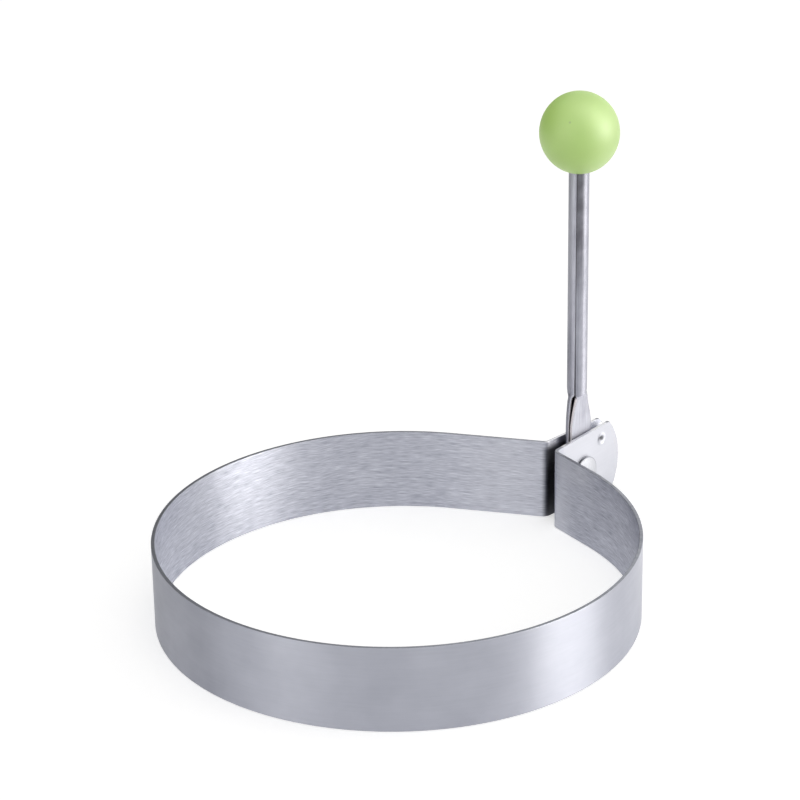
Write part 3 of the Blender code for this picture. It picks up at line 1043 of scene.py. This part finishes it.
@dataclass
class HandleStem:
    """The rolled sheet handle: a flat channel below that rounds up to a tube with one seam."""

    hinge: Vector
    sheet: float = 0.5 * MM
    diameter: float = 4.0 * MM
    seam: float = 0.2 * MM
    seam_at_top: float = 0.08 * MM
    seam_closed: float = 30.0 * MM
    seam_turn_degrees: float = 25.0
    shoulder_bottom: float = 16.28 * MM
    shoulder_run: float = 1.0 * MM
    depth_at_rivet: float = 1.553 * MM
    swell: float = 0.4 * MM
    swell_from: float = 8.2 * MM
    front_reach: float = 2.6 * MM
    front_reach_at_shoulder: float = 1.3 * MM
    back_reach: float = 3.1 * MM
    back_reach_at_shoulder: float = 2.4 * MM
    fold_degrees: float = 110.0
    edge_run: float = 7.0 * MM
    web_reach: float = 4.3 * MM
    web_reach_at_shoulder: float = 2.9 * MM
    web_run: float = 7.0 * MM
    hole_radius: float = 1.65 * MM
    edge_radius: float = 0.1 * MM
    crease_depth: float = 0.09 * MM
    crease_width: float = 0.28 * MM
    fold_line_share: float = -0.84
    fold_line_width: float = 0.026
    fold_line_depth: float = 0.1 * MM
    fold_line_top: float = 31.0 * MM
    across_steps: int = 44
    foot_steps: int = 10
    channel_steps: int = 56
    shoulder_steps: int = 14
    tube_steps: int = 60

    @property
    def shoulder_top(self) -> float:
        """Height above the rivet where the tube is fully round."""
        return self.shoulder_bottom + self.shoulder_run

    def channel_point(self, share: float, height: float) -> Vector:
        """Point of the channel's middle surface.

        Args:
            share: From -1 at the back edge to 1 at the front edge.
            height: Height above the rivet.

        Returns:
            The point in plan, about the stem's axis.
        """
        swell = ease(height, self.swell_from, self.shoulder_bottom)
        depth = self.depth_at_rivet + self.swell * swell
        radius = depth / 2 - self.sheet / 2
        draw = ease(height, self.shoulder_bottom - self.web_run, self.shoulder_bottom)
        outside = mix(self.web_reach, self.web_reach_at_shoulder, draw)
        bend_y = outside - self.sheet / 2 - radius
        swing = min(max((self.shoulder_bottom - height) / self.edge_run, 0.0), 1.0)
        swing = math.sin(swing * math.pi / 2)
        if share > 0:
            flat_end = -mix(self.front_reach_at_shoulder, self.front_reach, swing)
            fold = 0.0
        else:
            back_reach = mix(self.back_reach_at_shoulder, self.back_reach, swing)
            flat_end = radius + self.sheet / 2 - back_reach
            fold = radius * math.radians(self.fold_degrees)
        quarter = radius * math.pi / 2
        travel = abs(share) * (quarter + bend_y - flat_end + fold)
        side = math.copysign(1.0, share)
        if travel < quarter:
            angle = travel / radius
            return Vector((side * radius * math.sin(angle), bend_y + radius * math.cos(angle)))
        travel -= quarter
        if travel <= bend_y - flat_end:
            return Vector((side * radius, bend_y - travel))
        angle = (travel - (bend_y - flat_end)) / radius
        return Vector((side * radius * math.cos(angle), flat_end - radius * math.sin(angle)))

    def section(self, height: float) -> list[Vector]:
        """Middle surface points across the sheet; the tube's seam faces the ring and the front.

        Args:
            height: Height above the rivet.

        Returns:
            Points from the back edge to the front edge, about the rivet's middle.
        """
        round_share = ease(height, self.shoulder_bottom, self.shoulder_top)
        open_share = 1 - ease(height, self.shoulder_top, self.fold_line_top)
        line_depth = self.fold_line_depth * round_share * open_share
        radius = (self.diameter - self.sheet) / 2
        closing = ease(height, self.shoulder_top, self.seam_closed)
        seam = mix(self.seam, self.seam_at_top, closing)
        points = []
        for step in range(-self.across_steps, self.across_steps + 1):
            share = step / self.across_steps
            angle = share * (math.pi - math.asin(seam / 2 / radius))
            angle -= share**2 * math.radians(self.seam_turn_degrees)
            tube = radius * Vector((math.sin(angle), math.cos(angle)))
            plan = self.channel_point(share, height).lerp(tube, round_share)
            presses = [line_depth * bell(share - self.fold_line_share, self.fold_line_width)]
            for crease in (self.shoulder_bottom, self.shoulder_top):
                presses.append(self.crease_depth * bell(height - crease, self.crease_width))
            for press in presses:
                plan *= 1 - press / max(plan.length, self.sheet)
            points.append(Vector((plan.x, plan.y, height)))
        return points

    def rows(self, top: float) -> list[list[Vector]]:
        """Sections from the round foot's end to the tube's end, closest at the shoulder.

        Args:
            top: Where the tube ends inside the knob.

        Returns:
            The points of each section.
        """
        rows = []
        for row in range(self.foot_steps, 0, -1):
            points = []
            for point in self.section(0.0):
                depth = math.sqrt(max(self.web_reach**2 - point.y**2, 0.0))
                points.append(Vector((point.x, point.y, -depth * row / self.foot_steps)))
            rows.append(points)
        levels = (0.0, self.shoulder_bottom, self.shoulder_top, top)
        counts = (self.channel_steps, self.shoulder_steps, self.tube_steps)
        for low, high, count in zip(levels, levels[1:], counts):
            rows += [self.section(mix(low, high, step / count)) for step in range(count)]
        return rows + [self.section(top)]

    def build(self) -> Object:
        """Make and dress the stem.

        Returns:
            The finished stem.
        """
        rows = self.rows(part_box("handle_stem")[1].z - self.hinge.z)
        bm = bmesh.new()
        bm.loops.layers.uv.new(SHEET_UV)
        width, last = math.pi * self.diameter, 2 * self.across_steps
        grid = []
        for row in rows:
            places = [(width * column / last, point.z) for column, point in enumerate(row)]
            grid.append([(bm.verts.new(p + self.hinge), on) for p, on in zip(row, places)])
        for low, high in zip(grid, grid[1:]):
            for i in range(last):
                add_quad(bm, (low[i], low[i + 1], high[i + 1], high[i]))
        face_outward(bm, Vector((1.0, 0.0, 0.0)))
        stem = from_bmesh("handle_stem_steel", bm)
        for finish in (ROLLED_STEM.material(self.painted_tube_light()), RUBBED_EDGE.material()):
            stem.data.materials.append(finish)
        thicken(stem, self.sheet, self.edge_radius, rim=1)
        hole, radius = bmesh.new(), self.hole_radius
        sizes = {"segments": 64, "radius1": radius, "radius2": radius, "depth": 3 * self.diameter}
        bmesh.ops.create_cone(hole, cap_ends=True, matrix=along_rivet(self.hinge), **sizes)
        cutter = from_bmesh("stem_hole", hole)
        cut = stem.modifiers.new("hole", "BOOLEAN")
        cut.object = cutter
        cut.operation = "DIFFERENCE"
        cut.solver = "EXACT"
        done = applied(stem, "handle_stem_steel")
        bpy.data.objects.remove(cutter, do_unlink=True)
        return done

    def painted_tube_light(self) -> list[PaintedPatch]:
        """List painted light on the tube: painted shade dimming its highlight in front, a painted
        dark reflection at the seam higher up, and a painted highlight behind.

        Returns:
            The patches.
        """
        seam = math.pi * self.diameter
        # Middle, reach and border
        streaks = (
            # Painted shade that dims the tube's highlight in front
            ((10.3 * MM, 34.0 * MM), (1.4 * MM, 18.0 * MM), (1.2 * MM, 8.0 * MM), "#7E808A", 0.4),
            # Painted highlight behind, by the back edge
            ((1.2 * MM, 58.0 * MM), (1.0 * MM, 32.0 * MM), (0.5 * MM, 14.0 * MM), "#D8D9E0", 0.35),
            # Painted dark reflection at the seam, higher up
            ((seam, 80.0 * MM), (2.8 * MM, 48.0 * MM), (1.7 * MM, 22.0 * MM), "#4E4C52", 0.75),
        )
        return [PaintedPatch(*streak) for streak in streaks]


@dataclass
class BallKnob:
    """The moulded ball on the stem's top, with a flat lip round its hole."""

    hinge: Vector
    diameter: float = 15.5 * MM
    height: float = 16.0 * MM
    reach: float = 71.2 * MM
    hole_radius: float = 2.25 * MM
    hole_depth: float = 10.8 * MM
    lip: float = 0.55 * MM
    chamfer: float = 0.15 * MM
    steps: int = 120
    ball_steps: int = 60
    gate_turn: float = 20.3
    gate_rise: float = 30.4
    gate_radius: float = 0.3 * MM
    gate_share: float = 0.55

    @property
    def centre(self) -> Vector:
        """The ball's centre."""
        return self.hinge + Vector((0.0, 0.0, self.reach))

    def profile(self) -> list[tuple[float, float]]:
        """Go from the ball's crown to the hole's end.

        Returns:
            Radius and height of each point.
        """
        half_width, half_height = self.diameter / 2, self.height / 2
        last = math.pi - math.asin((self.hole_radius + self.lip) / half_width)
        points = []
        for step in range(self.ball_steps + 1):
            angle = last * step / self.ball_steps
            points.append((half_width * math.sin(angle), half_height * math.cos(angle)))
        lip_height = points[-1][1]
        end = self.hole_depth - half_height
        return points + [
            (self.hole_radius + self.chamfer, lip_height),
            (self.hole_radius, lip_height + self.chamfer),
            (self.hole_radius, end),
            (0.0, end),
        ]

    def gate(self) -> Vector:
        """Find the mould's gate mark.

        Returns:
            Its place on the ball's surface.
        """
        turn, rise = math.radians(self.gate_turn), math.radians(self.gate_rise)
        ray = (math.sin(turn) * math.cos(rise), -math.cos(turn) * math.cos(rise), math.sin(rise))
        size = Vector((self.diameter, self.diameter, self.height))
        return self.centre + Vector(ray) * size / 2

    def build(self, sweep: SweepTree) -> Object:
        """Make and dress the ball.

        Args:
            sweep: The tree that turns a profile.

        Returns:
            The finished knob.
        """
        fade = {"From Max": self.gate_radius, "To Min": self.gate_share, "To Max": 0.0}
        finish = KNOB_PLASTIC.material(self.gate(), fade)
        place = Matrix.Translation(self.centre)
        return turned(sweep, "ball_knob_plastic", self.profile(), self.steps, finish, place)


@dataclass(frozen=True)
class Lamp:
    """A soft lamp; its place is told round the object, and it faces the object or straight up."""

    name: str
    turn: float
    reach: float
    rise: float
    size: tuple[float, float]
    brightness: float
    use: LampUse = LampUse.GLOSS
    faces_up: bool = False


# Degrees to the right of the camera, reach, height, width and height of the lamp, and how bright
# its face is, where one is the background's white. The last lies on the table behind the tabs.
LAMPS = (
    Lamp("right_softbox", 79.0, 0.7, 0.19, (0.46, 0.36), 1.6, LampUse.ALL),
    Lamp("right_gloss", 78.0, 0.68, 0.19, (0.42, 0.36), 4.5),
    Lamp("back_gloss", 126.0, 0.6, 0.2, (0.4, 0.5), 0.6),
    Lamp("left_gloss", -47.0, 0.8, 0.3, (0.36, 0.5), 1.4),
    Lamp("top_softbox", 10.0, 0.15, 1.1, (0.7, 0.7), 1.0, LampUse.ALL),
    Lamp("high_gloss", 78.0, 0.3, 0.4, (0.26, 0.26), 2.6),
    Lamp("table_glow", 111.8875, 0.131309, 0.001, (0.11, 0.12), 0.85, faces_up=True),
)


def seen_share(tree: NodeTree) -> NodeSocket:
    """Tell the rays that show a thing, straight, in gloss or through glass, from its light.

    Args:
        tree: The tree of the floor or the world.

    Returns:
        One for a ray that shows it and zero for light.
    """
    ray = add_node(tree, "LightPath")
    seen = ray["Is Camera Ray"]
    for other in ("Is Glossy Ray", "Is Transmission Ray"):
        either = {"operation": "MAXIMUM", 0: seen, 1: ray[other]}
        seen = add_node(tree, "Math", either)["Value"]
    return seen


@dataclass
class Studio:
    """The pale floor, the soft lamps and the camera."""

    ring_centre: Vector
    floor_radius: float = 2.5
    floor_drop: float = 0.05 * MM
    floor_glow: float = 0.45
    world_light: float = 0.66
    lamp_colour: tuple[float, float, float] = (1.0, 0.975, 0.91)
    aim_rise: float = 30.0 * MM
    flag_turn: float = -132.0
    flag_reach: float = 0.45
    flag_size: tuple[float, float] = (1.0, 0.42)
    focal_pixels: float = 2871.07
    image_pixels: float = 800.0
    sensor: float = 36.0
    elevation: float = 23.4967
    azimuth: float = 39.9373
    roll: float = -0.9474
    distance: float = 523.776 * MM
    aim_across: float = 0.9791 * MM
    aim_height: float = 42.9995 * MM

    def build_floor(self) -> None:
        """Make the floor, which shows white and keeps the object's shadow."""
        bm = bmesh.new()
        bmesh.ops.create_circle(bm, cap_ends=True, segments=96, radius=self.floor_radius)
        bmesh.ops.translate(bm, verts=bm.verts, vec=(0.0, 0.0, -self.floor_drop))
        floor = from_bmesh("floor", bm)
        material, tree = new_material("floor_paper")
        paper = add_node(tree, "BsdfDiffuse", {"Color": linear("#E4E4E4")})["BSDF"]
        dimmed = {"operation": "MULTIPLY", 0: seen_share(tree), 1: self.floor_glow}
        strength = add_node(tree, "Math", dimmed)["Value"]
        glow = add_node(tree, "Emission", {"Strength": strength})["Emission"]
        both = add_node(tree, "AddShader", {0: paper, 1: glow})["Shader"]
        add_node(tree, "OutputMaterial", {"Surface": both})
        floor.data.materials.append(material)

    def build_world(self) -> None:
        """Make the white surroundings that the camera and the metal see."""
        world = bpy.data.worlds.new("studio")
        bpy.context.scene.world = world
        world.use_nodes = True
        tree = world.node_tree
        tree.nodes.clear()
        light = {"To Min": self.world_light, "To Max": 1.0, "Value": seen_share(tree)}
        strength = add_node(tree, "MapRange", light)["Result"]
        white = {"Color": (1.0, 1.0, 1.0, 1.0), "Strength": strength}
        sky = add_node(tree, "Background", white)["Background"]
        add_node(tree, "OutputWorld", {"Surface": sky})

    def heading(self, degrees: float) -> Vector:
        """Level direction, turned right of the camera's direction as seen from above it."""
        turn = math.radians(self.azimuth + degrees)
        return Vector((math.sin(turn), -math.cos(turn), 0.0))

    def build_lamps(self) -> None:
        """Add the soft lamps, most of which only gloss shows."""
        for lamp in LAMPS:
            data = bpy.data.lights.new(lamp.name, "AREA")
            data.shape = "RECTANGLE"
            data.size, data.size_y = lamp.size
            data.energy = lamp.brightness * math.pi * lamp.size[0] * lamp.size[1]
            data.color = self.lamp_colour
            made = add_object(lamp.name, data)
            made.visible_camera = False
            made.visible_diffuse = lamp.use is LampUse.ALL
            place = self.heading(lamp.turn) * lamp.reach + Vector((0.0, 0.0, lamp.rise))
            aim = Vector((0.0, 0.0, self.aim_rise)) - place
            made.location = place
            made.rotation_mode = "QUATERNION"
            upward = Quaternion((1.0, 0.0, 0.0), math.pi)
            made.rotation_quaternion = upward if lamp.faces_up else aim.to_track_quat("-Z", "Y")

    def build_flag(self) -> None:
        """Stand a grey card behind the object on its left, which only the metal's gloss shows."""
        out = self.heading(self.flag_turn)
        side = Vector((-out.y, out.x, 0.0)) * self.flag_size[0] / 2
        corners = [out * self.flag_reach - side, out * self.flag_reach + side]
        corners += [corner + Vector((0.0, 0.0, self.flag_size[1])) for corner in corners[::-1]]
        mesh = bpy.data.meshes.new("left_flag")
        mesh.from_pydata([tuple(corner) for corner in corners], [], [(0, 1, 2, 3)])
        card = add_object("left_flag", mesh)
        material, tree = new_material("left_flag")
        paper = add_node(tree, "BsdfDiffuse", {"Color": linear("#78787A")})["BSDF"]
        add_node(tree, "OutputMaterial", {"Surface": paper})
        mesh.materials.append(material)
        card.visible_camera = False
        card.visible_diffuse = False
        card.visible_shadow = False

    def build_camera(self) -> None:
        """Set the camera at the photograph's angle, fitted to the object's rims, tabs and ball."""
        turns = ((self.azimuth, "Z"), (90.0 - self.elevation, "X"), (self.roll, "Z"))
        turn, tilt, roll = (Matrix.Rotation(math.radians(a), 4, axis) for a, axis in turns)
        aim = Matrix.Translation((self.aim_across, 0.0, self.aim_height))
        back = Matrix.Translation((0.0, 0.0, self.distance))
        data = bpy.data.cameras.new("camera")
        data.sensor_width = self.sensor
        data.lens = self.focal_pixels * self.sensor / self.image_pixels
        data.clip_start = 0.01
        camera = add_object("camera", data)
        centre = Matrix.Translation(self.ring_centre)
        camera.matrix_world = centre @ turn @ aim @ tilt @ roll @ back
        bpy.context.scene.camera = camera

    def build(self) -> None:
        """Make the studio."""
        bpy.context.scene.view_settings.view_transform = "Standard"
        self.build_floor()
        self.build_world()
        self.build_lamps()
        self.build_flag()
        self.build_camera()


def fit(piece: Object, body: Body, node: str) -> None:
    """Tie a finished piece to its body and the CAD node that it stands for.

    Args:
        piece: The finished piece.
        body: The body that it rides on.
        node: The CAD node that it stands for.
    """
    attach(piece, body.value)
    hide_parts(node)
    LOG.info("%s: %d faces, stands for %s", piece.name, len(piece.data.polygons), node)


def main() -> None:
    """Build the pieces in order, then the studio."""
    logging.basicConfig(level=logging.INFO, format="%(name)s %(message)s")
    hinge = Vector(frame["joints"][0]["pos_m"])
    strip_tree = SweepTree("strip_along_path", turned=False)
    turning_tree = SweepTree("turned_profile", turned=True)
    band = RingBand(hinge)
    fit(band.build(strip_tree), Body.RING, "ring_band")
    fit(HingeRivet(hinge).build(turning_tree), Body.RING, "hinge_rivet")
    fit(HandleStem(hinge).build(), Body.HANDLE, "handle_stem")
    fit(BallKnob(hinge).build(turning_tree), Body.HANDLE, "ball_knob")
    Studio(band.centre).build()


if __name__ == "__main__":
    main()
